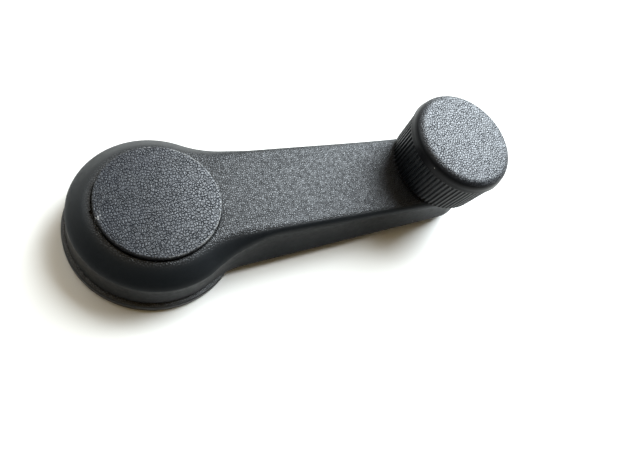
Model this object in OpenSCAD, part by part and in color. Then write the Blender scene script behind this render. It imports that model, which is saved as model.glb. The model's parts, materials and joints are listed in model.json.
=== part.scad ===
// Window crank handle of a car door: a hub that turns on a trim ring, an arm and a fluted knob
// that spins. Millimetres. The origin lies on the hub's axis in the door trim's plane, +Z points
// away from the door and +X runs from the hub to the knob.

/* [Crank] */
// Distance from the hub's axis to the knob's axis
crank_l = 100; // [96:1:112]
// Radius of the hub's flared rim
hub_r = 24.2; // [23.9:0.1:25]
// Height of the hub's top face above the door trim
hub_top = 18.9; // [18.6:0.1:20]
// Height of the arm's top face under the knob
arm_top = 16.5; // [16:0.1:17]
// Radius of the arm's round end at its lower edge
end_r = 15.6; // [14.6:0.1:16.4]
// Distance by which the arm's round end lies beyond the knob's axis
end_shift = 2.3; // [0:0.1:3]
// Angle by which each side of the arm closes towards the knob
arm_taper = 1.9; // [1:0.1:2.5]
// Radius of the hollow corner between hub and arm
corner_r = 26; // [16:1:32]

/* [Trim ring] */
// Outer radius of the trim ring
ring_r = 25.4; // [25.2:0.1:26]
// Height of the trim ring
ring_h = 3; // [2.8:0.1:3.2]
// Gap between the trim ring and the hub's rim
ring_gap = 0.9; // [0.6:0.1:1]

/* [Hub cap] */
// Radius of the hub cap
cap_r = 16.9; // [16.5:0.1:16.9]
// Height by which the cap's edge stands above the hub
cap_step = 1.8; // [1:0.1:2.2]
// Rise of the cap's crown from edge to middle
cap_crown = 0.6; // [0.2:0.1:1]
// Gap between the hub cap and its seat
cap_gap = 0.3; // [0.2:0.05:0.4]

/* [Knob] */
// Radius of the knob at its lower edge
knob_foot_r = 17.7; // [17.2:0.1:18]
// Radius of the knob at the top of its flutes
knob_grip_r = 18.6; // [18:0.1:19]
// Height of the knob's shoulder above the door trim
knob_top = 35.7; // [35.2:0.1:36.7]
// Rise of the knob's crown above its shoulder
knob_crown = 0.5; // [0.2:0.1:1]
// Number of flutes around the knob
flutes = 72; // [48:4:80]
// Radius of one flute
flute_r = 0.5; // [0.3:0.05:0.5]

/* [Spindle fit] */
// Number of serrations in the hub insert
serrations = 30; // [24:1:40]
// Radius at the bottom of the serrations
serration_r = 5; // [4.8:0.1:5]
// Radius of the plain lead-in of the insert
pilot_r = 5.2; // [5.1:0.05:5.5]

/* [Hidden] */
$fn = 96;
eps = 0.01;

// heights of the hub's stack, from the trim plane upwards
rim_z = ring_h + ring_gap;   // lower edge of the hub's rim
end_z = 4.6;                 // lower edge of the arm under the knob
flange_z = 2.2;              // top of the trim ring's inner flange
glide_h = 0.8;
core_z = 8;                  // underside of the steel core
core_t = 2;
floor_z = core_z + core_t;   // underside of the hub's web, on the core
web_z = 12;                  // floor of the hub's pocket
washer_t = 1;
lock_t = 1.4;
head_h = 3.6;
head_z = web_z + washer_t + lock_t;
ledge_z = hub_top - 1;     // ledge that the cap rests on
cavity_z = 13.6;             // roof of the hollow under the arm

// radii inside the hub
collar_r = 14;               // outside of the trim ring's collar
collar_in = 12.4;
skirt_r = 16.2;              // outside of the hub's bearing skirt
run = 0.1;                   // running clearance of the collar in the skirt
pocket_r = 15.6;
hub_flare = 0.5;              // how far the hub's wall spreads towards its rim
crest_r = 17.4;              // edge of the hub's flat top, just outside the cap's seat
insert_r = 8;
insert_flat = 7;             // half distance across the insert's flats
insert_flange_r = 11;

// screws, spindle and knob
screw_r = 3;
screw_tip_z = 4.4;
thread_top_z = 9.5;          // end of the fixing screw's thread
neck_r = 2.65;               // screw's neck between thread and head
tail_r = 3;                  // tail of the knob's spindle
shank_r = 4;
seat_z = arm_top + 0.5;      // seat of the spindle's flange
knob_z = arm_top + 0.8;      // lower edge of the knob
spindle_flange_t = 1.2;
wave_t = 0.8;
thin_washer_t = 0.6;
bush_z = seat_z + spindle_flange_t + wave_t + thin_washer_t + 0.05;
bush_flange_t = 0.75;
hub_tube_z = bush_z + bush_flange_t;   // foot of the knob's inner tube
tube_top = hub_tube_z + 9.8;
tube_r = 8;
bush_r = 5.6;
upper_washer_z = tube_top + 0.1;
clip_z = upper_washer_z + 0.85;
clip_t = 0.8;
spindle_top = clip_z + 2.05;
grip_top = knob_top - 4.4;   // top of the flutes, where the knob's cap sits on the shell
band_r = knob_grip_r + 0.3;  // smooth edge of the knob's cap, which overhangs the flutes
knob_in = knob_foot_r - 2.4; // inside of the knob's wall
counterbore_r = 8.6;         // room for the washers under the knob
core_screw_x = [40, 76];
rib_x = [30, 46, 58, 70, 84];

black = [0.07, 0.075, 0.085];
grained = [0.10, 0.105, 0.12];
steel = [0.62, 0.63, 0.65];
zinc = [0.70, 0.69, 0.62];
acetal = [0.86, 0.86, 0.82];
felt = [0.22, 0.22, 0.23];

function smooth(t) = let(c = max(0, min(1, t))) c * c * (3 - 2 * c);
function mix(a, b, t) = a + (b - a) * t;

// ---- outline of hub and arm at the lower edge, far side only: [point, outward normal] ----

end_x = crank_l + end_shift;
side_n = [sin(arm_taper), cos(arm_taper)];
side_t = [cos(arm_taper), -sin(arm_taper)];
side_d = end_x * sin(arm_taper) + end_r;
corner_c = side_n * (side_d + corner_r)
         + side_t * sqrt(pow(hub_r + corner_r, 2) - pow(side_d + corner_r, 2));
corner_a = atan2(corner_c[1], corner_c[0]);
side_a = 90 - arm_taper;

function unit(a) = [cos(a), sin(a)];
function outline(hub_n, corner_n, side_steps, end_n) = concat(
    [for (i = [0:hub_n]) let(a = mix(180, corner_a, i / hub_n)) [hub_r * unit(a), unit(a)]],
    [for (i = [1:corner_n]) let(a = mix(corner_a, side_a, i / corner_n))
        [corner_c - corner_r * unit(a), unit(a)]],
    [for (i = [1:side_steps]) let(
        a = corner_c - corner_r * side_n,
        b = [end_x, 0] + end_r * side_n)
        [mix(a, b, i / side_steps), side_n]],
    [for (i = [1:end_n]) let(a = mix(side_a, 0, i / end_n))
        [[end_x, 0] + end_r * unit(a), unit(a)]]);

// ---- section of the wall, which changes from the hub to the knob ----

function on_arm(x) = smooth((x - 10) / 24);
function along(x) = max(0, min(1, (x - 30) / (crank_l - 30)));
function top_z(x) = let(t = max(0, min(1, (x - 20) / (crank_l - 36))))
    mix(hub_top, arm_top, (t + smooth(t)) / 2);
function low_z(x) = mix(rim_z, end_z, smooth((x - 24) / (crank_l - 24)));
function flare(x) = mix(hub_flare, mix(3.3, 1.3, along(x)), on_arm(x));
function shoulder_w(x) = mix(hub_r - hub_flare - crest_r, 2.8, on_arm(x));
function shoulder_h(x) = mix(5.7, 3, on_arm(x));
function shoulder_bow(x) = mix(1.55, 1, on_arm(x));   // 1 is a round shoulder, 2 a straight bevel

// [inset from the outline, height] at level k: k below 0 runs up the flared wall from -1 to 0,
// and from 0 to 1 it goes round the shoulder
function wall(x, k) = let(start = top_z(x) - shoulder_h(x), bow = shoulder_bow(x))
    k < 0
        ? [flare(x) * (1 - k * k), mix(start, low_z(x), -k)]
        : [flare(x) + shoulder_w(x) * (1 - pow(cos(90 * k), bow)),
           start + shoulder_h(x) * pow(sin(90 * k), bow)];

module lofted_body(levels) {
    half = outline(22, 6, 10, 12);
    n = len(half);
    ring = 2 * n - 2;
    function spot(k, i) = let(
        j = i < n ? i : ring - i,
        p = half[j][0],
        w = wall(p[0], k),
        q = p - half[j][1] * w[0])
        [q[0], i < n ? max(q[1], 0) : -q[1], w[1]];
    last = len(levels) - 1;
    points = [for (k = levels) for (i = [0:ring - 1]) spot(k, i)];
    sides = [for (k = [0:last - 1]) for (i = [0:ring - 1]) let(
        a = k * ring + i,
        b = k * ring + (i + 1) % ring)
        each [[a, b, b + ring], [a, b + ring, a + ring]]];
    strips = [for (i = [1:n - 3]) [i, i + 1, ring - i - 1, ring - i]];
    ends = [[0, 1, ring - 1], [n - 2, n - 1, n]];
    top = [for (f = concat(strips, ends)) [for (v = f) v + last * ring]];
    bottom = [for (f = concat(strips, ends)) [for (j = [len(f) - 1:-1:0]) f[j]]];
    polyhedron(points, concat(sides, top, bottom), convexity = 6);
}

// ---- small helpers ----

module tube(r_out, r_in, z0, z1) {
    translate([0, 0, z0]) difference() {
        cylinder(r = r_out, h = z1 - z0);
        translate([0, 0, -1]) cylinder(r = r_in, h = z1 - z0 + 2);
    }
}

module disc(r, z0, z1) {
    translate([0, 0, z0]) cylinder(r = r, h = z1 - z0);
}

module bar(x0, x1, y0, y1, z0, z1) {
    translate([x0, y0, z0]) cube([x1 - x0, y1 - y0, z1 - z0]);
}

module at_knob() {
    translate([crank_l, 0, 0]) children();
}

// strip that narrows from half width a at x0 to half width b at the knob's axis
module strip(x0, a, b, z0, z1) {
    translate([0, 0, z0]) linear_extrude(height = z1 - z0)
        polygon([[x0, -a], [crank_l, -b], [crank_l, b], [x0, a]]);
    at_knob() disc(b, z0, z1);
}

// ---- trim ring, which stays on the door ----

module base_ring() {
    color(black) difference() {
        rotate_extrude() polygon([
            [collar_in, 0], [ring_r - 0.4, 0], [ring_r, 0.4], [ring_r, ring_h - 1],
            [ring_r - 0.6, ring_h], [22, ring_h], [22, flange_z],
            [collar_r, flange_z], [collar_r, 5.9], [collar_r + 0.5, 6.2],
            [collar_r + 0.5, 6.5], [collar_r - 0.2, 7.2], [collar_in, 7.2]]);
        tube(22.5, 15.5, -1, 1);
        // slots that split the collar into spring fingers
        for (a = [0:60:300]) rotate(a) bar(collar_in - 1, collar_r + 2, -0.8, 0.8, 3.4, 8);
        // notches that key the ring to the door trim
        for (a = [90, 270]) rotate(a) bar(collar_in - 1, collar_in + 1.6, -2, 2, -1, 1);
    }
}

module felt_ring() {
    color(felt) tube(22.4, 15.6, 0, 1);
}

module glide_ring() {
    color(acetal) difference() {
        tube(20.5, 14.3, flange_z, flange_z + glide_h);
        for (a = [0:45:315]) rotate(a) bar(19.2, 21, -1, 1, flange_z + 0.4, 4);
    }
}

// ---- crank: the moulded shell and what is fixed in it ----

module core_outline(grow) {
    disc(13 + grow, core_z - grow, floor_z);
    strip(0, 8.4 + grow, 7.4 + grow, core_z - grow, floor_z);
}

module insert_neck(grow, z0, z1) {
    intersection() {
        disc(insert_r + grow, z0, z1);
        bar(-20, 20, -insert_flat - grow, insert_flat + grow, z0, z1);
    }
}

module arm_hollow() {
    difference() {
        union() {
            strip(skirt_r, 13.4, 12.2, 0, core_z);
            strip(skirt_r + 2, 11.4, 10.6, core_z - eps, cavity_z);
        }
        // rounds off what the hollow leaves of the hub's bearing skirt
        disc(skirt_r, -1, 20);
        for (x = rib_x) bar(x - 0.7, x + 0.7, -14, 14, floor_z, 15);
        bar(0, crank_l, -0.7, 0.7, floor_z, 15);
        for (x = core_screw_x) translate([x, 0, 0]) disc(3.4, floor_z, 15);
        at_knob() disc(8, floor_z, 15);
    }
}

module crank_shell() {
    color(black) difference() {
        union() {
            difference() {
                lofted_body([-1, -0.75, -0.5, -0.25, 0, 0.2, 0.4, 0.6, 0.8, 1]);
                tube(20.9, skirt_r, 0, 13.2);
                disc(skirt_r + eps, 0, floor_z);
                arm_hollow();
            }
            tube(skirt_r, collar_r + run, flange_z + glide_h + 0.05, floor_z + eps);
            at_knob() disc(7.5, arm_top - 0.5, seat_z);
        }
        // relief above the bearing, for the lips of the ring's fingers
        tube(collar_r + 0.9, collar_in, 5.7, floor_z);
        disc(pocket_r, web_z, hub_top + 2);
        disc(cap_r + cap_gap, ledge_z, hub_top + 2);
        insert_neck(0.05, 0, 20);
        core_outline(0.1);
        at_knob() disc(tail_r + 0.05, 0, 20);
        for (x = core_screw_x) translate([x, 0, 0]) disc(1.25, 0, 15);
        // notch for prying the cap out
        rotate(188) bar(cap_r - 1, cap_r + cap_gap + 0.4, -3, 3, ledge_z + 0.2, hub_top + 2);
    }
}

module arm_core() {
    color(steel) difference() {
        core_outline(0);
        insert_neck(0.02, 0, 20);
        at_knob() disc(tail_r + 0.05, 0, 20);
        for (x = core_screw_x) translate([x, 0, 0]) disc(1.9, 0, 20);
        // slot that saves weight between the two screws
        for (x = [51, 65]) translate([x, 0, 0]) disc(2.6, 0, 20);
        bar(51, 65, -2.6, 2.6, 0, 20);
    }
}

module core_screws() {
    color(zinc) for (x = core_screw_x) translate([x, 0, 0]) difference() {
        rotate_extrude() polygon([
            [0, core_z - 1.9], [1.8, core_z - 1.8], [2.9, core_z - 1.1],
            [3.1, core_z], [1.2, core_z], [1.2, 14], [0.5, 14.8], [0, 14.8]]);
        for (a = [0, 90]) rotate(a) bar(-1.7, 1.7, -0.35, 0.35, core_z - 3, core_z - 0.9);
    }
}

module spline_insert() {
    color(zinc) difference() {
        union() {
            disc(insert_r, 0, core_z);
            insert_neck(0, core_z - eps, web_z);
            disc(insert_flange_r, core_z - 1.6, core_z);
        }
        disc(pilot_r, -1, 4);
        disc(screw_r + 0.25, 0, 20);
        translate([0, 0, 3]) linear_extrude(height = 7) polygon(
            [for (i = [0:2 * serrations - 1])
                (serration_r - (i % 2) * 0.4) * unit(180 * i / serrations)]);
    }
}

module flat_washer() {
    color(zinc) tube(9, screw_r + 0.2, web_z, web_z + washer_t);
}

module lock_washer() {
    color(steel) difference() {
        tube(5.6, screw_r + 0.15, web_z + washer_t, head_z);
        rotate(40) translate([2, 0, web_z + washer_t + lock_t / 2]) rotate([25, 0, 0])
            translate([0, -0.3, -3]) cube([6, 0.6, 6]);
    }
}

module fixing_screw() {
    color(zinc) difference() {
        rotate_extrude() polygon(concat(
            [[0, screw_tip_z], [screw_r - 0.6, screw_tip_z], [screw_r, screw_tip_z + 0.6],
             [screw_r, thread_top_z], [neck_r, thread_top_z + 0.4], [neck_r, head_z], [6, head_z]],
            [for (a = [0:9:90]) [2.6 + 3.4 * cos(a), head_z + 1.2 + (head_h - 1.2) * sin(a)]],
            [[0, head_z + head_h]]));
        for (a = [0, 90]) rotate(a) bar(-3, 3, -0.65, 0.65, head_z + 1.2, 30);
        disc(1.5, head_z + 0.9, 30);
    }
}

module hub_cap() {
    edge = hub_top + cap_step;
    roof = edge - 1.8;
    color(grained) difference() {
        rotate_extrude() polygon(concat(
            [[0, roof], [14.4, roof], [14.4, 14.2], [15.1, 14.2], [15.5, 15],
             [15.5, 15.6], [15.2, 16.2], [15.2, ledge_z], [cap_r, ledge_z], [cap_r, edge - 0.4]],
            [for (a = [0:15:90]) [cap_r - 0.4 + 0.4 * cos(a), edge - 0.4 + 0.4 * sin(a)]],
            [for (i = [1:8]) let(t = 1 - i / 8)
                [(cap_r - 0.4) * t, edge + cap_crown * (1 - t * t)]]));
        // slots that split the skirt into spring tongues
        for (a = [15:45:330]) rotate(a) bar(14, 16.5, -1.2, 1.2, 13, ledge_z - 0.6);
    }
}

// ---- knob and what it turns on ----

module knob_spindle() {
    color(steel) at_knob() rotate_extrude() polygon([
        [0, core_z - 2.4], [3.4, core_z - 2.4], [4.6, core_z - 1], [tail_r, core_z - 1],
        [tail_r, seat_z], [6.5, seat_z], [6.5, seat_z + spindle_flange_t],
        [shank_r, seat_z + spindle_flange_t], [shank_r, clip_z], [3.2, clip_z],
        [3.2, clip_z + clip_t + 0.05], [shank_r, clip_z + clip_t + 0.05],
        [shank_r, spindle_top - 0.5], [shank_r - 0.5, spindle_top], [0, spindle_top]]);
}

module rivet_washer() {
    color(zinc) at_knob() tube(6, tail_r + 0.05, core_z - 1, core_z);
}

module wave_washer() {
    steps = 48;
    sheet = 0.3;
    low = seat_z + spindle_flange_t;
    lift = (wave_t - sheet) / 2;
    points = [for (i = [0:steps - 1]) let(a = 360 * i / steps, z = low + lift * (1 + sin(3 * a)))
        each [for (c = [[4.3, 0], [6.3, 0], [6.3, sheet], [4.3, sheet]])
            [c[0] * cos(a), c[0] * sin(a), z + c[1]]]];
    faces = [for (i = [0:steps - 1]) for (j = [0:3]) let(
        a = 4 * i, b = 4 * ((i + 1) % steps), k = (j + 1) % 4)
        each [[a + j, a + k, b + k], [a + j, b + k, b + j]]];
    color(steel) at_knob() polyhedron(points, faces, convexity = 6);
}

module lower_thrust_washer() {
    z = seat_z + spindle_flange_t + wave_t;
    color(zinc) at_knob() tube(6.8, shank_r + 0.1, z, z + thin_washer_t);
}

module upper_thrust_washer() {
    color(zinc) at_knob() tube(7, shank_r + 0.1, upper_washer_z, upper_washer_z + 0.8);
}

module e_clip() {
    color(steel) at_knob() difference() {
        tube(6.2, 3.25, clip_z, clip_z + clip_t);
        bar(0, 8, -2.3, 2.3, clip_z - 1, clip_z + 2);
        for (a = [110, 250]) rotate(a) translate([5, 0, 0]) disc(0.9, clip_z - 1, clip_z + 2);
    }
}

module knob_bush() {
    color(acetal) at_knob() difference() {
        union() {
            disc(7.6, bush_z, hub_tube_z);
            disc(bush_r, hub_tube_z - eps, tube_top);
        }
        disc(shank_r + 0.05, bush_z - 1, tube_top + 1);
    }
}

module flute() {
    lean = atan2(knob_grip_r - knob_foot_r, grip_top - knob_z);
    translate([knob_foot_r, 0, knob_z]) rotate([0, lean, 0])
        translate([0, 0, -1]) cylinder(r = flute_r, h = grip_top - knob_z + 2, $fn = 24);
}

module knob_shell() {
    floor_low = knob_z + 2.2;
    floor_high = hub_tube_z + 1.8;
    bore = bush_r + 0.05;
    color(black) at_knob() difference() {
        union() {
            rotate_extrude() polygon([
                [bore, hub_tube_z], [counterbore_r, hub_tube_z], [counterbore_r, knob_z],
                [knob_foot_r - 0.4, knob_z], [knob_foot_r, knob_z + 0.4],
                [knob_grip_r, grip_top], [knob_in, grip_top], [knob_in, floor_low],
                [10.4, floor_low], [10.4, floor_high], [tube_r, floor_high],
                [tube_r, tube_top], [bore, tube_top]]);
            // ribs between the inner tube and the wall, cut back above the bush's flange
            for (a = [30:60:330]) rotate(a) difference() {
                bar(tube_r - 0.6, knob_in + 0.6, -0.7, 0.7, floor_low - 0.5, tube_top - 2.2);
                disc(counterbore_r + 0.6, 0, hub_tube_z + 0.9);
            }
        }
        for (i = [0:flutes - 1]) rotate(i * 360 / flutes) flute();
    }
}

module knob_cap() {
    roof = knob_top - 1.9;
    foot = grip_top - 3.2;
    round_w = 3;
    round_h = 3.4;
    dome_r = band_r - 0.3 - round_w;
    color(grained) at_knob() difference() {
        rotate_extrude() polygon(concat(
            [[0, roof], [13.4, roof], [13.4, foot], [14.2, foot], [knob_in - 0.05, foot + 0.6],
             [knob_in - 0.05, grip_top], [band_r - 0.2, grip_top], [band_r, grip_top + 0.3]],
            [for (a = [0:9:90])
                [dome_r + round_w * cos(a), knob_top - round_h + round_h * sin(a)]],
            [for (i = [1:8]) let(t = 1 - i / 8)
                [dome_r * t, knob_top + knob_crown * (1 - t * t)]]));
        // slots that split the skirt into spring tongues
        for (a = [0:60:300]) rotate(a) bar(12.8, knob_in + 0.2, -1.5, 1.5, foot - 1, grip_top - 0.6);
    }
}

base_ring();
felt_ring();
glide_ring();
crank_shell();
arm_core();
core_screws();
spline_insert();
flat_washer();
lock_washer();
fixing_screw();
hub_cap();
knob_spindle();
rivet_washer();
wave_washer();
lower_thrust_washer();
upper_thrust_washer();
e_clip();
knob_bush();
knob_shell();
knob_cap();
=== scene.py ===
import json
import math

import bmesh
import bpy
from mathutils import Matrix, Vector

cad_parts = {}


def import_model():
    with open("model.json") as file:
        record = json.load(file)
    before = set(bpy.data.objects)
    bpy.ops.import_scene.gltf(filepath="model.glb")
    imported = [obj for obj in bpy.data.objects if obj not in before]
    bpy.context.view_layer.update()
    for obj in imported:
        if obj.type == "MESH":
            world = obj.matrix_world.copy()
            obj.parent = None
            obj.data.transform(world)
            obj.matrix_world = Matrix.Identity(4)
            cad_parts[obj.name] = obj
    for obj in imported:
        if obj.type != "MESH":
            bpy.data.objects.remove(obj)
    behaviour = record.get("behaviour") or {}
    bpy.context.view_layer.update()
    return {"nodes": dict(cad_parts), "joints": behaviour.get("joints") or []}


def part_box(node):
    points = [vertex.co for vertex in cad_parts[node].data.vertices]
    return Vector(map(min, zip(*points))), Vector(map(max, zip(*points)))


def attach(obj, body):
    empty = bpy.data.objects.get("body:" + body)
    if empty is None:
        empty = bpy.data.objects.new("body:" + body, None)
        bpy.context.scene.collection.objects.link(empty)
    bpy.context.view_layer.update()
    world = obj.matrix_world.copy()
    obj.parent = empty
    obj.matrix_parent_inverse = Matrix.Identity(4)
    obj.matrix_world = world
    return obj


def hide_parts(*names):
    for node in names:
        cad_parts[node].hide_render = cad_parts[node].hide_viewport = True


# A window crank handle of a car door. The pieces that show are rebuilt in fine detail around the CAD
# frame, and the others are carried over with rounded edges. It lies on a pale floor in soft light.

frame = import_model()

# Shapes are built in millimetres in the frame of the CAD model, and scaled to metres at the end.
MM = 0.001

# The notch where a blade pries out the hub cap lies opposite the arm.
NOTCH_ANGLE = math.radians(188)


# ---- sizes that the frame gives ----

def low(node):
    """Lowest corner of a CAD node, in millimetres."""
    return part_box(node)[0] / MM


def high(node):
    """Highest corner of a CAD node, in millimetres."""
    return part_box(node)[1] / MM


crank_l = next(j for j in frame["joints"] if j["name"] == "knob_spin")["pos_m"][0] / MM
hub_r = -low("crank_shell").x
hub_top = high("crank_shell").z
ring_r = high("base_ring").x
collar_top = high("base_ring").z
cap_r = high("hub_cap").x
cap_peak = high("hub_cap").z
cap_foot = low("hub_cap").z
core_low = low("arm_core").z
core_high = high("arm_core").z
knob_low = low("knob_shell").z
grip_top = high("knob_shell").z
band_r = high("knob_cap").x - crank_l
knob_peak = high("knob_cap").z
knob_cap_foot = low("knob_cap").z
bush_low = low("knob_bush").z
bush_top = high("knob_bush").z
washer_low = low("flat_washer").z

# ---- sizes of the visible shapes ----

arm_top = knob_low - 0.8
rim_z = 3.9                     # lower edge of the hub
end_z = 4.6                     # lower edge of the arm under the knob
arm_taper = math.radians(1.9)
corner_r = 26                   # hollow corner between hub and arm
end_x = crank_l + 2.3           # centre of the arm's round end
end_r = high("crank_shell").x - end_x
crest_r = 17.4                  # hub's flat top
skirt_r = 16.2                  # bearing skirt under the hub
skirt_in = 14.1
pocket_r = 15.6                 # pocket for the screw, under the cap
core_screw_x = (40, 76)
rib_x = (30, 46, 58, 70, 84)
ring_h = 3.0
collar_r = 14.0                 # trim ring's collar, which the skirt turns on
cap_gap = 0.3
cap_crown = 0.6                 # rise of the cap's middle above its edge
ledge_z = hub_top - 1.0         # ledge that the cap's edge rests on
knob_foot_r = 17.7
knob_crown = 0.5
grip_r = band_r - 0.3
knob_in = knob_foot_r - 2.4
flutes = 72
flute_r = 0.5


# ---- building meshes ----

def clamp(t):
    return max(0.0, min(1.0, t))


def smooth(t):
    """Eases from 0 to 1 as t does."""
    t = clamp(t)
    return t * t * (3 - 2 * t)


def mix(a, b, t):
    return a + (b - a) * t


def arc(centre_u, centre_v, radius_u, radius_v, start, stop, steps):
    """Points (u, v) on an elliptic arc, with angles in degrees."""
    angles = [math.radians(mix(start, stop, i / steps)) for i in range(steps + 1)]
    return [(centre_u + radius_u * math.cos(a), centre_v + radius_v * math.sin(a)) for a in angles]


def crowned(r, z, rise):
    """Points (r, z) on a crowned face, from just inside radius r to its highest point on the axis."""
    return [(r * t, z + rise * (1 - t * t)) for t in (1 - i / 24 for i in range(1, 25))]


def mesh_object(name, bm):
    """A new object, still in millimetres."""
    bmesh.ops.recalc_face_normals(bm, faces=bm.faces)
    mesh = bpy.data.meshes.new(name)
    bm.to_mesh(mesh)
    bm.free()
    obj = bpy.data.objects.new(name, mesh)
    bpy.context.scene.collection.objects.link(obj)
    return obj


def revolve(name, profile, x=0.0, segments=192, closed=True, radius=None):
    """Turns a profile of (r, z) points round the upright axis at x. Where given,
    radius(r, index, angle) returns the radius of a profile point at an angle."""
    bm = bmesh.new()
    rings = []
    for k, (r, z) in enumerate(profile):
        if r == 0:
            rings.append([bm.verts.new((x, 0, z))])
            continue
        ring = []
        for i in range(segments):
            angle = 2 * math.pi * i / segments
            rr = radius(r, k, angle) if radius else r
            ring.append(bm.verts.new((x + rr * math.cos(angle), rr * math.sin(angle), z)))
        rings.append(ring)
    following = rings[1:] + rings[:1] if closed else rings[1:]
    for a, b in zip(rings, following):
        for i in range(segments):
            j = (i + 1) % segments
            corners = [a[i % len(a)], a[j % len(a)], b[j % len(b)], b[i % len(b)]]
            corners = list(dict.fromkeys(corners))
            if len(corners) > 2:
                bm.faces.new(corners)
    return mesh_object(name, bm)


def rod(name, x, r, z0, z1, segments=48):
    """An upright cylinder at x."""
    profile = [(0, z0), (r, z0), (r, z1), (0, z1)]
    return revolve(name, profile, x=x, segments=segments, closed=False)


def prism(name, outline, z0, z1):
    """An upright prism over a closed outline of (x, y) points."""
    bm = bmesh.new()
    lower = [bm.verts.new((x, y, z0)) for x, y in outline]
    upper = [bm.verts.new((x, y, z1)) for x, y in outline]
    for i in range(len(outline)):
        j = (i + 1) % len(outline)
        bm.faces.new((lower[i], lower[j], upper[j], upper[i]))
    bm.faces.new(lower[::-1])
    bm.faces.new(upper)
    return mesh_object(name, bm)


def turned(outline, angle):
    """The outline turned round the hub's axis."""
    c = math.cos(angle)
    s = math.sin(angle)
    return [(x * c - y * s, x * s + y * c) for x, y in outline]


def box_outline(x0, x1, y0, y1):
    return [(x0, y0), (x1, y0), (x1, y1), (x0, y1)]


def strip_outline(x0, half_at_start, half_at_knob):
    """A strip from x0 to the knob, where it has a round end."""
    end = arc(crank_l, 0, half_at_knob, half_at_knob, -90, 90, 32)
    return [(x0, half_at_start), (x0, -half_at_start)] + end


def combine(obj, others, operation):
    """Applies a boolean of obj with each of the other objects, and removes those."""
    for other in others:
        modifier = obj.modifiers.new("combine", "BOOLEAN")
        modifier.operation = operation
        modifier.solver = "MANIFOLD"
        modifier.object = other
    bpy.context.view_layer.update()
    graph = bpy.context.evaluated_depsgraph_get()
    mesh = bpy.data.meshes.new_from_object(obj.evaluated_get(graph))
    obj.modifiers.clear()
    obj.data = mesh
    for other in others:
        bpy.data.objects.remove(other)
    return obj


def shade(mesh, sharp_angle):
    """Smooth faces, with sharp edges where the surface turns by more than sharp_angle degrees."""
    bm = bmesh.new()
    bm.from_mesh(mesh)
    limit = math.radians(sharp_angle)
    for face in bm.faces:
        face.smooth = True
    for edge in bm.edges:
        edge.smooth = len(edge.link_faces) == 2 and edge.calc_face_angle(0) < limit
    bm.to_mesh(mesh)
    bm.free()


def place(obj, body, node, material):
    """Scales a finished piece to metres and puts it on its body, in place of its CAD node."""
    obj.data.transform(Matrix.Scale(MM, 4))
    shade(obj.data, sharp_angle=32)
    obj.data.materials.clear()
    obj.data.materials.append(material)
    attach(obj, body)
    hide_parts(node)


# ---- hub and arm ----

def crank_outline():
    """Half outline of the crank's lower edge, from the hub's back to the knob's end, as pairs of a
    point and its outward normal."""
    side_n = Vector((math.sin(arm_taper), math.cos(arm_taper)))
    side_t = Vector((math.cos(arm_taper), -math.sin(arm_taper)))
    side_d = end_x * side_n.x + end_r
    reach = math.sqrt((hub_r + corner_r) ** 2 - (side_d + corner_r) ** 2)
    corner = side_n * (side_d + corner_r) + side_t * reach
    corner_a = math.atan2(corner.y, corner.x)
    side_a = math.pi / 2 - arm_taper
    end = Vector((end_x, 0))

    def unit(angle):
        return Vector((math.cos(angle), math.sin(angle)))

    hub_steps = 72
    corner_steps = 16
    side_steps = 48
    end_steps = 40
    outline = []
    for i in range(hub_steps + 1):
        n = unit(mix(math.pi, corner_a, i / hub_steps))
        outline.append((hub_r * n, n))
    for i in range(1, corner_steps + 1):
        n = unit(mix(corner_a, side_a, i / corner_steps))
        outline.append((corner - corner_r * n, n))
    start = corner - corner_r * side_n
    stop = end + end_r * side_n
    for i in range(1, side_steps + 1):
        outline.append((start.lerp(stop, i / side_steps), side_n))
    for i in range(1, end_steps + 1):
        n = unit(mix(side_a, 0, i / end_steps))
        outline.append((end + end_r * n, n))
    return outline


def crank_section(x):
    """Wall of the crank at x, from its lower edge to its top face, as (inset, height) points. The wall
    leans inwards by flare, and a rounded shoulder of the given width and height leads to the top."""
    hub_end = 10
    arm_start = 34
    on_arm = smooth((x - hub_end) / (arm_start - hub_end))
    narrowing_from = 30
    along = clamp((x - narrowing_from) / (crank_l - narrowing_from))
    slope_start = 20
    slope_end = crank_l - 16
    down = clamp((x - slope_start) / (slope_end - slope_start))
    top = mix(hub_top, arm_top, (down + smooth(down)) / 2)
    rise_start = 24
    lower = mix(rim_z, end_z, smooth((x - rise_start) / (crank_l - rise_start)))
    hub_flare = 0.5
    arm_flare = mix(3.3, 1.3, along)
    flare = mix(hub_flare, arm_flare, on_arm)
    hub_shoulder_w = hub_r - hub_flare - crest_r
    arm_shoulder_w = 2.8
    shoulder_w = mix(hub_shoulder_w, arm_shoulder_w, on_arm)
    hub_shoulder_h = 5.7
    arm_shoulder_h = 3.0
    shoulder_h = mix(hub_shoulder_h, arm_shoulder_h, on_arm)
    bow = mix(1.55, 1.0, on_arm)
    start = top - shoulder_h
    rounded_foot = [(0.9, lower), (0.4, lower), (0.17, lower + 0.06), (0.05, lower + 0.2)]
    wall = []
    wall_steps = 14
    for i in range(1, wall_steps + 1):
        k = 0.96 * (1 - i / wall_steps)
        wall.append((flare * (1 - k * k), mix(start, lower, k)))
    shoulder = []
    shoulder_steps = 20
    for i in range(1, shoulder_steps + 1):
        a = math.radians(90 * i / shoulder_steps)
        across = max(0.0, math.cos(a)) ** bow
        shoulder.append((flare + shoulder_w * (1 - across), start + shoulder_h * math.sin(a) ** bow))
    return rounded_foot + wall + shoulder


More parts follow.
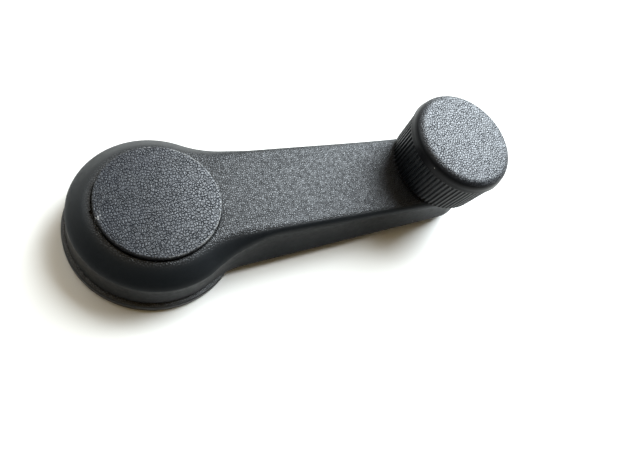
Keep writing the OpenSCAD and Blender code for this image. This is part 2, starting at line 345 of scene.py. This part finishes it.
def crank_solid():
    """The crank's outside as one closed mesh."""
    half = crank_outline()
    count = len(half)
    ring = 2 * count - 2
    bm = bmesh.new()
    columns = []
    for i in range(ring):
        far_side = i < count
        point, normal = half[i if far_side else ring - i]
        column = []
        for inset, z in crank_section(point.x):
            spot = point - normal * inset
            y = max(spot.y, 0) if far_side else -spot.y
            column.append(bm.verts.new((spot.x, y, z)))
        columns.append(column)
    for i in range(ring):
        a, b = columns[i], columns[(i + 1) % ring]
        for k in range(len(a) - 1):
            bm.faces.new((a[k], b[k], b[k + 1], a[k + 1]))
    for level in (0, -1):
        for i in range(count - 1):
            corners = [columns[i], columns[i + 1],
                       columns[(ring - i - 1) % ring], columns[(ring - i) % ring]]
            spots = list(dict.fromkeys(column[level] for column in corners))
            bm.faces.new(spots)
    return mesh_object("crank_body", bm)


def pocket_cutter():
    """The recess for the hub cap and the fixing screw, with rounded rims."""
    seat_r = cap_r + cap_gap
    lip = 0.25
    fillet = 0.4
    past_top = hub_top + 2
    profile = [(0, washer_low)]
    profile += arc(pocket_r - fillet, washer_low + fillet, fillet, fillet, -90, 0, 4)
    profile += [(pocket_r, ledge_z), (seat_r, ledge_z)]
    profile += arc(seat_r + lip, hub_top - lip, lip, lip, 180, 90, 5)
    profile += [(seat_r + lip, past_top), (0, past_top)]
    return revolve("pocket", profile, closed=False)


def hub_cavity_cutter():
    """The hollow under the hub, round the bearing skirt. A groove above the skirt takes the lugs of
    the trim ring's collar."""
    cavity_r = 20.9
    ceiling = 13.2
    fillet = 0.4
    edge = 0.3
    groove_r = 14.9
    groove_z = 5.7
    profile = [(0, 0), (cavity_r + edge, 0), (cavity_r + edge, rim_z), (cavity_r, rim_z + 0.4),
               (cavity_r, ceiling - fillet), (cavity_r - fillet, ceiling),
               (skirt_r + fillet, ceiling), (skirt_r, ceiling - fillet),
               (skirt_r, rim_z + edge), (skirt_r - edge, rim_z),
               (skirt_in + edge, rim_z), (skirt_in, rim_z + edge),
               (skirt_in, groove_z), (groove_r, groove_z), (groove_r, core_high), (0, core_high)]
    return revolve("hub_cavity", profile, closed=False)


def arm_cutters():
    """The hollow under the arm: a wide mouth, the seat of the steel strip, and the part above it with
    its ribs and bosses."""
    ceiling = 13.6
    past_ceiling = 15
    past_side = 14
    half_rib = 0.7
    mouth = prism("mouth", strip_outline(skirt_r, 13.4, 12.2), 0, core_low)
    recess = prism("recess", strip_outline(0, 8.5, 7.5), core_low - 0.1, core_high)
    upper = prism("upper", strip_outline(skirt_r + 2, 11.4, 10.6), core_low - 0.01, ceiling)
    ribs = [box_outline(x - half_rib, x + half_rib, -past_side, past_side) for x in rib_x]
    ribs.append(box_outline(0, crank_l, -half_rib, half_rib))
    solid = [prism("rib", outline, core_high, past_ceiling) for outline in ribs]
    solid += [rod("boss", x, 3.4, core_high, past_ceiling) for x in core_screw_x]
    solid.append(rod("boss", crank_l, 8, core_high, past_ceiling, segments=64))
    combine(upper, solid, "DIFFERENCE")
    return [mouth, recess, upper]


def crank_body():
    """The hub and the arm, with the boss under the knob, and hollow underneath."""
    body = crank_solid()
    boss_r = 7.5
    boss_top = arm_top + 0.5
    boss_profile = [(0, arm_top - 0.5), (boss_r, arm_top - 0.5), (boss_r, boss_top - 0.1),
                    (boss_r - 0.1, boss_top), (0, boss_top)]
    boss = revolve("knob_boss", boss_profile, x=crank_l, closed=False)
    combine(body, [boss], "UNION")
    past_top = hub_top + 2
    neck_r = 8.05
    neck_flat = 7.05
    corner_a = math.asin(neck_flat / neck_r)
    neck_side = [(neck_r * math.cos(a), neck_r * math.sin(a))
                 for a in (mix(-corner_a, corner_a, i / 12) for i in range(13))]
    hole_for_neck = prism("neck", neck_side + [(-x, -y) for x, y in neck_side], 0, past_top)
    spindle_hole = rod("spindle_hole", crank_l, 3.05, 0, past_top)
    notch_outline = box_outline(cap_r - 1, cap_r + cap_gap + 0.4, -3, 3)
    notch = prism("notch", turned(notch_outline, NOTCH_ANGLE), ledge_z + 0.2, past_top)
    cutters = [pocket_cutter(), hub_cavity_cutter(), hole_for_neck, spindle_hole, notch] + arm_cutters()
    return combine(body, cutters, "DIFFERENCE")


# ---- hub cap ----

def hub_cap_disc():
    """The crowned cap, with eight snap tongues between slots in its inner rim."""
    edge_z = cap_peak - cap_crown
    edge = 0.4
    roof = edge_z - 1.8
    inner_r = 14.4
    tongue_r = 15.2
    barb_r = 15.5
    profile = [(0, roof), (inner_r, roof), (inner_r, cap_foot), (tongue_r - 0.1, cap_foot),
               (barb_r, cap_foot + 0.8), (barb_r, cap_foot + 1.4), (tongue_r, cap_foot + 2),
               (tongue_r, ledge_z), (cap_r - 0.15, ledge_z), (cap_r, ledge_z + 0.15)]
    profile += arc(cap_r - edge, edge_z - edge, edge, edge, 0, 84, 7)
    profile += crowned(cap_r - edge, edge_z, cap_crown)
    cap = revolve("hub_cap_disc", profile, closed=False)
    tongues = 8
    slot = box_outline(inner_r - 0.4, barb_r + 1, -1.2, 1.2)
    angles = [math.radians(15 + 360 / tongues * i) for i in range(tongues)]
    slots = [prism("slot", turned(slot, angle), cap_foot - 1, ledge_z - 0.6) for angle in angles]
    return combine(cap, slots, "DIFFERENCE")


# ---- fixing screw ----

def fixing_screw():
    """Pan-head screw with a helical thread and a cross recess."""
    tip = low("fixing_screw").z
    crown = high("fixing_screw").z
    thread_r = 3.0
    neck_r = 2.65
    head_r = 6.0
    corner = 3.4
    pitch = 1.0
    depth = 0.54
    thread_top = 9.5
    head_z = crown - 3.6
    rows = 12 * round((thread_top - tip) / pitch)
    thread = [(thread_r, mix(tip, thread_top, i / rows)) for i in range(rows + 1)]
    head = [(neck_r, head_z), (head_r - 0.2, head_z), (head_r, head_z + 0.2)]
    head += arc(head_r - corner, head_z + 1.2, corner, crown - head_z - 1.2, 0, 90, 10)
    profile = [(0, tip)] + thread + [(neck_r, thread_top + 0.4)] + head + [(0, crown)]

    def threaded(r, index, angle):
        if not 1 <= index <= rows + 1:
            return r
        z = profile[index][1]
        turn = (z / pitch - angle / (2 * math.pi)) % 1
        groove = clamp(1.3 * abs(2 * turn - 1) - 0.15)
        return min(thread_r - depth * groove, thread_r - 0.6 + (z - tip))

    screw = revolve("fixing_screw_turned", profile, segments=96, closed=False, radius=threaded)
    past_crown = crown + 2
    slot = box_outline(-3, 3, -0.65, 0.65)
    recess = [prism("slot", turned(slot, math.radians(a)), head_z + 1.2, past_crown) for a in (0, 90)]
    recess.append(rod("drive", 0, 1.5, head_z + 0.9, past_crown))
    return combine(screw, recess, "DIFFERENCE")


# ---- knob ----

def flute_depth(angle):
    """Depth of the round flutes below the knob's surface at an angle."""
    pitch = 2 * math.pi / flutes
    off = (angle / pitch + 0.5) % 1 - 0.5
    across = off * pitch * grip_r / flute_r
    return flute_r * math.sqrt(1 - across * across) if abs(across) < 1 else 0.0


def knob_grip():
    """The knob's fluted body, with the tube that holds its bush."""
    flange_top = bush_low + 0.75
    floor_low = knob_low + 2.2
    floor_high = flange_top + 1.8
    counterbore = 8.6
    tube_r = 8.0
    bore = 5.65
    well_r = 10.4
    edge = 0.4
    foot = arc(knob_foot_r - edge, knob_low + edge, edge, edge, -90, 0, 4)
    wall = [(mix(knob_foot_r, grip_r, t), mix(knob_low + edge, grip_top, t))
            for t in (i / 10 for i in range(1, 11))]
    outer = foot + wall
    inner = [(knob_in, grip_top), (knob_in, floor_low), (well_r, floor_low), (well_r, floor_high),
             (tube_r, floor_high), (tube_r, bush_top), (bore, bush_top), (bore, flange_top),
             (counterbore, flange_top), (counterbore, knob_low + 0.2), (counterbore + 0.2, knob_low)]
    profile = outer + inner

    def fluted(r, index, angle):
        if 2 <= index < len(outer):
            return r - flute_depth(angle)
        return r

    return revolve("knob_grip", profile, x=crank_l, segments=flutes * 14, radius=fluted)


def knob_top():
    """The knob's crowned top, with a wide rounded shoulder and a spigot that snaps into the grip."""
    shoulder_z = knob_peak - knob_crown
    round_w = 3.0
    round_h = 3.4
    dome_r = band_r - 0.3 - round_w
    roof = shoulder_z - 1.9
    spigot_in = 13.4
    spigot_r = knob_in - 0.05
    edge = 0.25
    profile = [(0, roof), (spigot_in, roof), (spigot_in, knob_cap_foot), (spigot_in + 0.8, knob_cap_foot),
               (spigot_r, knob_cap_foot + 0.6), (spigot_r, grip_top), (band_r - edge, grip_top)]
    profile += arc(band_r - edge, grip_top + edge, edge, edge, -60, 0, 3)
    profile += arc(dome_r, shoulder_z - round_h, round_w, round_h, 0, 90, 24)
    profile += crowned(dome_r, shoulder_z, knob_crown)
    return revolve("knob_top", profile, x=crank_l, closed=False)


# ---- trim ring ----

def trim_ring():
    """The trim ring, with a recess for the felt, a slotted collar with lugs, and two key slots."""
    inner_r = 12.4
    flange_z = 2.2
    step_r = 22
    felt_in = 15.5
    felt_out = 22.5
    felt_z = 1
    lug_r = collar_r + 0.5
    lug_low = 5.9
    slot_floor = 3.4
    foot = 0.5
    rim = 0.8
    profile = [(inner_r, 0.2), (inner_r + 0.2, 0), (felt_in, 0), (felt_in, felt_z),
               (felt_out, felt_z), (felt_out, 0)]
    profile += arc(ring_r - foot, foot, foot, foot, -90, 0, 5)
    profile += arc(ring_r - rim, ring_h - rim, rim, rim, 0, 90, 7)
    profile += [(step_r + 0.2, ring_h), (step_r, ring_h - 0.2), (step_r, flange_z),
                (collar_r, flange_z), (collar_r, lug_low), (lug_r, lug_low + 0.3), (lug_r, lug_low + 0.6),
                (collar_r - 0.2, collar_top), (inner_r + 0.2, collar_top), (inner_r, collar_top - 0.2)]
    ring = revolve("trim_ring", profile)
    slot = box_outline(inner_r - 1, collar_r + 2, -0.8, 0.8)
    slots = [prism("slot", turned(slot, math.radians(60 * i)), slot_floor, collar_top + 1)
             for i in range(6)]
    key = box_outline(inner_r - 1, inner_r + 1.6, -2, 2)
    keys = [prism("key", turned(key, math.radians(a)), -1, 1) for a in (90, 270)]
    return combine(ring, slots + keys, "DIFFERENCE")


def felt_pad():
    """The felt ring, with rounded lower edges."""
    inner_r = 15.6
    outer_r = 22.4
    thick = 1
    edge = 0.3
    profile = arc(outer_r - edge, edge, edge, edge, -90, 0, 4)
    profile += [(outer_r, thick), (inner_r, thick)]
    profile += arc(inner_r + edge, edge, edge, edge, 180, 270, 4)
    return revolve("felt_pad", profile)


# ---- materials ----

class Nodes:
    """Adds nodes to one material. An input is a number, a tuple or another node's output."""

    def __init__(self, name):
        self.material = bpy.data.materials.new(name)
        self.material.use_nodes = True
        self.tree = self.material.node_tree
        self.shader = self.tree.nodes["Principled BSDF"]

    def add(self, kind, inputs=None, output=0, **settings):
        node = self.tree.nodes.new("ShaderNode" + kind)
        for key, value in settings.items():
            setattr(node, key, value)
        for key, value in (inputs or {}).items():
            self.put(node.inputs[key], value)
        return node.outputs[output]

    def put(self, socket, value):
        if isinstance(value, bpy.types.NodeSocket):
            self.tree.links.new(value, socket)
        else:
            socket.default_value = value

    def place(self):
        return self.add("TexCoord", output="Object")

    def noise(self, where, size, detail=3.0, roughness=0.55):
        """Noise whose lumps are about size millimetres across."""
        inputs = {"Vector": where, "Scale": 1 / (size * MM), "Detail": detail, "Roughness": roughness}
        return self.add("TexNoise", inputs)

    def math(self, operation, a, b=0.0):
        return self.add("Math", {0: a, 1: b}, operation=operation)

    def ramp(self, value, start, stop, low=0.0, high=1.0):
        """Maps start..stop to low..high with smooth ends."""
        inputs = {"Value": value, "From Min": start, "From Max": stop, "To Min": low, "To Max": high}
        return self.add("MapRange", inputs, interpolation_type="SMOOTHSTEP")

    def blend(self, factor, a, b):
        """Mixes two colours, which are inputs 6 and 7 and output 2 of a Mix node."""
        node = self.tree.nodes.new("ShaderNodeMix")
        node.data_type = "RGBA"
        self.put(node.inputs[0], factor)
        self.put(node.inputs[6], a)
        self.put(node.inputs[7], b)
        return node.outputs[2]

    def bump(self, height, distance):
        """Relief that is distance millimetres high."""
        return self.add("Bump", {"Height": height, "Distance": distance * MM})

    def set(self, **sockets):
        """Sets or links the shader's sockets, and returns the material."""
        for key, value in sockets.items():
            self.put(self.shader.inputs[key.replace("_", " ")], value)
        return self.material


def rgb(red, green, blue):
    return (red, green, blue, 1.0)


def faces_up(n, start, stop, side=0.0, top=1.0):
    """Runs from side to top as the surface turns upwards, in the piece's own frame."""
    normal = n.add("TexCoord", output="Normal")
    return n.ramp(n.add("SeparateXYZ", {0: normal}, output="Z"), start, stop, side, top)


def along_arm(n, where):
    """Distance from the hub's axis towards the knob."""
    return n.add("SeparateXYZ", {0: where}, output="X")


def pebbles(n, where, size, width, joined):
    """Leather grain seen from above, in pebbles about size millimetres across: 1 on the pebbles and 0
    in the creases between them. Width is a crease's share of a pebble. In places the creases fade
    by as much as joined."""
    drift = n.add("TexNoise", {"Vector": where, "Scale": 1 / (1.3 * size * MM), "Detail": 2.0}, output=1)
    drift = n.add("VectorMath", {0: drift, 1: (0.5, 0.5, 0.5)}, operation="SUBTRACT")
    drift = n.add("VectorMath", {0: drift, "Scale": 0.9 * size * MM}, operation="SCALE")
    wavy = n.add("VectorMath", {0: where, 1: drift}, operation="ADD")
    edge = n.add("TexVoronoi", {"Vector": wavy, "Scale": 1 / (size * MM)}, feature="DISTANCE_TO_EDGE",
                 voronoi_dimensions="2D")
    crease = n.ramp(edge, 0.02, width, 1.0, 0.0)
    fade = n.ramp(n.noise(where, 1.8 * size, detail=1.0), 0.38, 0.62, 1.0, 1.0 - joined)
    return n.math("SUBTRACT", 1.0, n.math("MULTIPLY", crease, fade))


def specks(n, where, spacing, size):
    """Sparse dust: 1 on dots of that size, in about a third of the cells spacing millimetres wide."""
    cells = n.tree.nodes.new("ShaderNodeTexVoronoi")
    n.put(cells.inputs["Vector"], where)
    n.put(cells.inputs["Scale"], 1 / (spacing * MM))
    near = n.ramp(cells.outputs["Distance"], 0.6 * size / spacing, size / spacing, 1.0, 0.0)
    chosen = n.add("SeparateXYZ", {0: cells.outputs["Color"]}, output="X")
    return n.math("MULTIPLY", near, n.ramp(chosen, 0.6, 0.65))


def pry_marks(n, where):
    """Nicks left by a blade at the cap's pry notch: 1 on the bare, whitened plastic."""
    notch = turned([(cap_r, 0)], NOTCH_ANGLE)[0]
    spot = (notch[0] * MM, notch[1] * MM, (cap_peak - cap_crown) * MM)
    away = n.add("VectorMath", {0: where, 1: spot}, operation="DISTANCE", output="Value")
    close = n.ramp(away, 0.4 * MM, 3.2 * MM, 1.0, 0.0)
    chips = n.noise(where, 0.45, detail=4, roughness=0.7)
    chips = n.math("ADD", chips, n.math("MULTIPLY", close, 0.12))
    return n.math("MULTIPLY", close, n.ramp(chips, 0.64, 0.72))


def worn_rim_and_highlight(n, where, radius):
    """1 on a thin broken line along an edge of this radius, round the hub's axis, which is coloured pale
    as worn plastic and as a painted highlight. It is strongest on the lit side towards the arm."""
    flat = n.add("VectorMath", {0: where, 1: (1, 1, 0)}, operation="MULTIPLY")
    reach = n.add("VectorMath", {0: flat}, operation="LENGTH", output="Value")
    off = n.math("ABSOLUTE", n.math("SUBTRACT", reach, radius * MM))
    line = n.ramp(off, 0.08 * MM, 0.3 * MM, 1.0, 0.0)
    side = n.ramp(along_arm(n, where), -10 * MM, 12 * MM, 0.1, 1.0)
    broken = n.ramp(n.noise(where, 1.4, detail=4), 0.42, 0.62)
    return n.math("MULTIPLY", line, n.math("MULTIPLY", side, broken))


def satin_plastic(name, side_shine):
    """Black moulded plastic: finely grained and glossy where it faces up, smooth and duller at the
    sides, whose reflections have the strength side_shine. Painted shade colours the sides darker
    than the tops, and the grain's creases darker than its pebbles."""
    n = Nodes(name)
    where = n.place()
    face = faces_up(n, 0.8, 0.985)
    grain = pebbles(n, where, size=0.65, width=0.4, joined=0.3)
    cloud = n.ramp(n.noise(where, 9.0, detail=4), 0.3, 0.7)
    scuff = n.ramp(n.noise(where, 1.6, detail=6, roughness=0.7), 0.3, 0.75)
    white = rgb(0.42, 0.42, 0.4)
    # Painted shade: the sides get a darker colour than the tops.
    side = n.blend(cloud, rgb(0.003, 0.005, 0.007), rgb(0.005, 0.007, 0.009))
    # Painted shade in the creases: they are coloured darker than the pebbles.
    top = n.blend(grain, rgb(0.003, 0.0035, 0.005), rgb(0.016, 0.018, 0.021))
    grain = n.math("MAXIMUM", grain, n.math("SUBTRACT", 1.0, face))
    colour = n.blend(face, side, top)
    colour = n.blend(n.math("MULTIPLY", specks(n, where, spacing=5.0, size=0.2), 0.6), colour, white)
    colour = n.blend(n.math("MULTIPLY", pry_marks(n, where), 0.7), colour, white)
    rough = n.math("ADD", n.math("MULTIPLY", scuff, 0.12), 0.4)
    gloss = n.math("MULTIPLY", n.ramp(grain, 0.0, 1.0, 0.27, 0.82), faces_up(n, 0.6, 0.985))
    relief = n.bump(n.math("ADD", grain, n.math("MULTIPLY", n.noise(where, 0.3), 0.15)), 0.1)
    return n.set(Base_Color=colour, Roughness=rough, Specular_IOR_Level=side_shine, Normal=relief,
                 Coat_Weight=gloss, Coat_Roughness=0.43, Coat_IOR=1.68, Coat_Normal=relief)


def grained_plastic():
    """Black plastic with a moulded leather grain of small pebbles between creases. Painted shade
    colours the creases darker than the pebbles, and the sides below the grained face darker than
    it. Hands have polished the hub cap on the side towards the arm, and the whole knob."""
    n = Nodes("grained_plastic")
    where = n.place()
    polish = n.ramp(along_arm(n, where), -cap_r * MM, cap_r * MM, 0.6, 1.0)
    face = faces_up(n, 0.45, 0.98)
    fine = pebbles(n, where, size=0.45, width=0.3, joined=0.3)
    coarse = pebbles(n, where, size=0.85, width=0.22, joined=0.3)
    grain = n.math("MULTIPLY", coarse, n.ramp(fine, 0.0, 1.0, 0.7, 1.0))
    grain = n.math("MAXIMUM", grain, n.math("SUBTRACT", 1.0, face))
    cloud = n.ramp(n.noise(where, 7.0, detail=3), 0.3, 0.7)
    white = rgb(0.5, 0.5, 0.48)
    # Painted shade in the creases: they are coloured darker than the pebbles.
    crease = n.blend(cloud, rgb(0.004, 0.005, 0.007), rgb(0.007, 0.008, 0.011))
    bead = n.blend(cloud, rgb(0.01, 0.013, 0.019), rgb(0.017, 0.021, 0.03))
    # Painted shade: the sides below the grained face get a darker colour than the face.
    colour = n.blend(face, rgb(0.006, 0.0065, 0.008), n.blend(grain, crease, bead))
    dust = specks(n, where, spacing=7.0, size=0.24)
    colour = n.blend(n.math("MULTIPLY", dust, 0.7), colour, white)
    # Wear and painted highlight: a pale line along the cap's edge, strongest on the lit side.
    rim_wear_and_highlight = worn_rim_and_highlight(n, where, cap_r - 0.25)
    colour = n.blend(n.math("MULTIPLY", rim_wear_and_highlight, 0.35), colour, white)
    colour = n.blend(pry_marks(n, where), colour, white)
    rough = n.ramp(grain, 0.0, 1.0, 0.65, 0.37)
    gloss = n.math("MULTIPLY", n.math("MULTIPLY", grain, face), polish)
    relief = n.bump(grain, 0.1)
    return n.set(Base_Color=colour, Roughness=rough, Specular_IOR_Level=0.15, Normal=relief,
                 Coat_Weight=gloss, Coat_Roughness=0.37, Coat_IOR=1.68, Coat_Normal=relief)


def felt_material():
    n = Nodes("felt_fibres")
    where = n.place()
    fibre = n.noise(where, 0.5, detail=8, roughness=0.75)
    colour = n.blend(fibre, rgb(0.018, 0.018, 0.02), rgb(0.085, 0.083, 0.085))
    return n.set(Base_Color=colour, Roughness=0.95, Sheen_Weight=0.4, Normal=n.bump(fibre, 0.25))


def metal(name, dark, bright, roughness, lump):
    """Metal whose colour and gloss vary a little in patches lump millimetres wide, with fine marks."""
    n = Nodes(name)
    where = n.place()
    cloud = n.noise(where, lump, detail=5, roughness=0.6)
    marks = n.noise(where, 0.12, detail=2)
    colour = n.blend(n.ramp(cloud, 0.3, 0.7), rgb(*dark), rgb(*bright))
    rough = n.ramp(cloud, 0.25, 0.75, roughness - 0.08, roughness + 0.12)
    return n.set(Base_Color=colour, Metallic=1.0, Roughness=rough, Normal=n.bump(marks, 0.01))


def acetal_material():
    n = Nodes("natural_acetal")
    where = n.place()
    cloud = n.noise(where, 5.0, detail=4)
    colour = n.blend(cloud, rgb(0.62, 0.61, 0.54), rgb(0.82, 0.81, 0.75))
    rough = n.ramp(cloud, 0.3, 0.7, 0.34, 0.5)
    return n.set(Base_Color=colour, Roughness=rough, Subsurface_Weight=0.1, Subsurface_Scale=0.001,
                 Normal=n.bump(n.noise(where, 0.2), 0.01))


def keep_node(node, material, bevel):
    """Gives a carried-over CAD node its material and softly rounded edges."""
    obj = frame["nodes"][node]
    obj.data.materials.clear()
    obj.data.materials.append(material)
    weld = obj.modifiers.new("weld", "WELD")
    weld.merge_threshold = 0.002 * MM
    rounding = obj.modifiers.new("rounding", "BEVEL")
    rounding.width = bevel * MM
    rounding.segments = 2
    rounding.limit_method = "ANGLE"
    rounding.angle_limit = math.radians(40)
    rounding.harden_normals = True


# ---- the object ----

satin = satin_plastic("satin_plastic", side_shine=0.12)
handled = satin_plastic("handled_plastic", side_shine=0.4)
grained = grained_plastic()
steel = metal("turned_steel", (0.42, 0.43, 0.45), (0.6, 0.61, 0.63), roughness=0.32, lump=2.5)
zinc = metal("zinc_plate", (0.5, 0.47, 0.36), (0.66, 0.64, 0.55), roughness=0.3, lump=1.8)
casting = metal("zinc_casting", (0.34, 0.35, 0.36), (0.5, 0.51, 0.52), roughness=0.5, lump=1.2)
acetal = acetal_material()

place(crank_body(), "crank", "crank_shell", satin)
place(hub_cap_disc(), "cap", "hub_cap", grained)
place(knob_grip(), "knob", "knob_shell", handled)
place(knob_top(), "knob", "knob_cap", grained)
place(trim_ring(), "ring", "base_ring", handled)
place(felt_pad(), "ring", "felt_ring", felt_material())

for node in ("arm_core", "lock_washer", "knob_spindle", "wave_washer", "e_clip"):
    keep_node(node, steel, bevel=0.06)
place(fixing_screw(), "crank", "fixing_screw", zinc)
for node in ("core_screws", "flat_washer", "rivet_washer", "lower_thrust_washer",
             "upper_thrust_washer"):
    keep_node(node, zinc, bevel=0.08)
keep_node("spline_insert", casting, bevel=0.1)
keep_node("glide_ring", acetal, bevel=0.08)
keep_node("knob_bush", acetal, bevel=0.08)


# ---- floor, light and camera ----

DAYLIGHT = (0.84, 0.93, 1.0)
LAMPLIGHT = (1.0, 0.76, 0.42)


def floor_material():
    n = Nodes("pale_floor")
    where = n.place()
    cloud = n.noise(where, 60.0, detail=3)
    colour = n.blend(cloud, rgb(0.87, 0.85, 0.81), rgb(0.91, 0.9, 0.87))
    return n.set(Base_Color=colour, Roughness=0.55, Specular_IOR_Level=0.3)


def floor():
    half_side = 1300
    bm = bmesh.new()
    bmesh.ops.create_grid(bm, x_segments=8, y_segments=8, size=half_side)
    obj = mesh_object("floor", bm)
    obj.data.transform(Matrix.Scale(MM, 4))
    obj.data.materials.append(floor_material())


def soft_light(name, azimuth, elevation, distance, width, height, power, colour):
    """A rectangular light that faces the middle of the crank, sized and placed in metres. Azimuth
    counts from +X towards +Y."""
    middle = Vector((crank_l / 2, 0, 10)) * MM
    a = math.radians(azimuth)
    e = math.radians(elevation)
    away = Vector((math.cos(a) * math.cos(e), math.sin(a) * math.cos(e), math.sin(e)))
    data = bpy.data.lights.new(name, "AREA")
    data.shape = "RECTANGLE"
    data.size = width
    data.size_y = height
    data.energy = power
    data.color = colour
    obj = bpy.data.objects.new(name, data)
    obj.location = middle + away * distance
    obj.rotation_euler = away.to_track_quat("Z", "Y").to_euler()
    bpy.context.scene.collection.objects.link(obj)


def camera():
    """Close above the hub's near side, looking along the arm, and tilted so that the arm runs level."""
    place_mm = Vector((-24.0, -59.0, 145.0))
    target_mm = Vector((47.2, -14.8, 8.7))
    roll = math.radians(42.66)
    back = (place_mm - target_mm).normalized()
    right = (-back).cross(Vector((0, 0, 1))).normalized()
    up = back.cross(right)
    tilted_right = math.cos(roll) * right + math.sin(roll) * up
    tilted_up = math.cos(roll) * up - math.sin(roll) * right
    data = bpy.data.cameras.new("camera")
    data.sensor_width = 36
    data.lens = 28.04
    data.clip_start = 0.005
    obj = bpy.data.objects.new("camera", data)
    axes = Matrix((tilted_right, tilted_up, back)).transposed()
    obj.matrix_world = Matrix.Translation(place_mm * MM) @ axes.to_4x4()
    bpy.context.scene.collection.objects.link(obj)
    bpy.context.scene.camera = obj


def world():
    """A dim warm room around the lights. Past the floor's edge the view ends in a plain pale wall."""
    room = bpy.data.worlds.new("room")
    room.use_nodes = True
    tree = room.node_tree
    dim = tree.nodes["Background"]
    dim.inputs["Color"].default_value = rgb(1.0, 0.85, 0.6)
    dim.inputs["Strength"].default_value = 0.05
    pale = tree.nodes.new("ShaderNodeBackground")
    pale.inputs["Color"].default_value = rgb(0.86, 0.86, 0.85)
    seen = tree.nodes.new("ShaderNodeMixShader")
    tree.links.new(tree.nodes.new("ShaderNodeLightPath").outputs["Is Camera Ray"], seen.inputs[0])
    tree.links.new(dim.outputs[0], seen.inputs[1])
    tree.links.new(pale.outputs[0], seen.inputs[2])
    tree.links.new(seen.outputs[0], tree.nodes["World Output"].inputs["Surface"])
    bpy.context.scene.world = room
    bpy.context.scene.view_settings.view_transform = "Standard"


floor()
world()
soft_light("window", azimuth=29, elevation=43, distance=0.9, width=0.6, height=0.85, power=25.0,
           colour=DAYLIGHT)
soft_light("doorway", azimuth=122, elevation=38, distance=1.0, width=1.0, height=0.5, power=3.6,
           colour=DAYLIGHT)
soft_light("ceiling", azimuth=85, elevation=70, distance=1.3, width=2.4, height=2.4, power=9.0,
           colour=LAMPLIGHT)
camera()
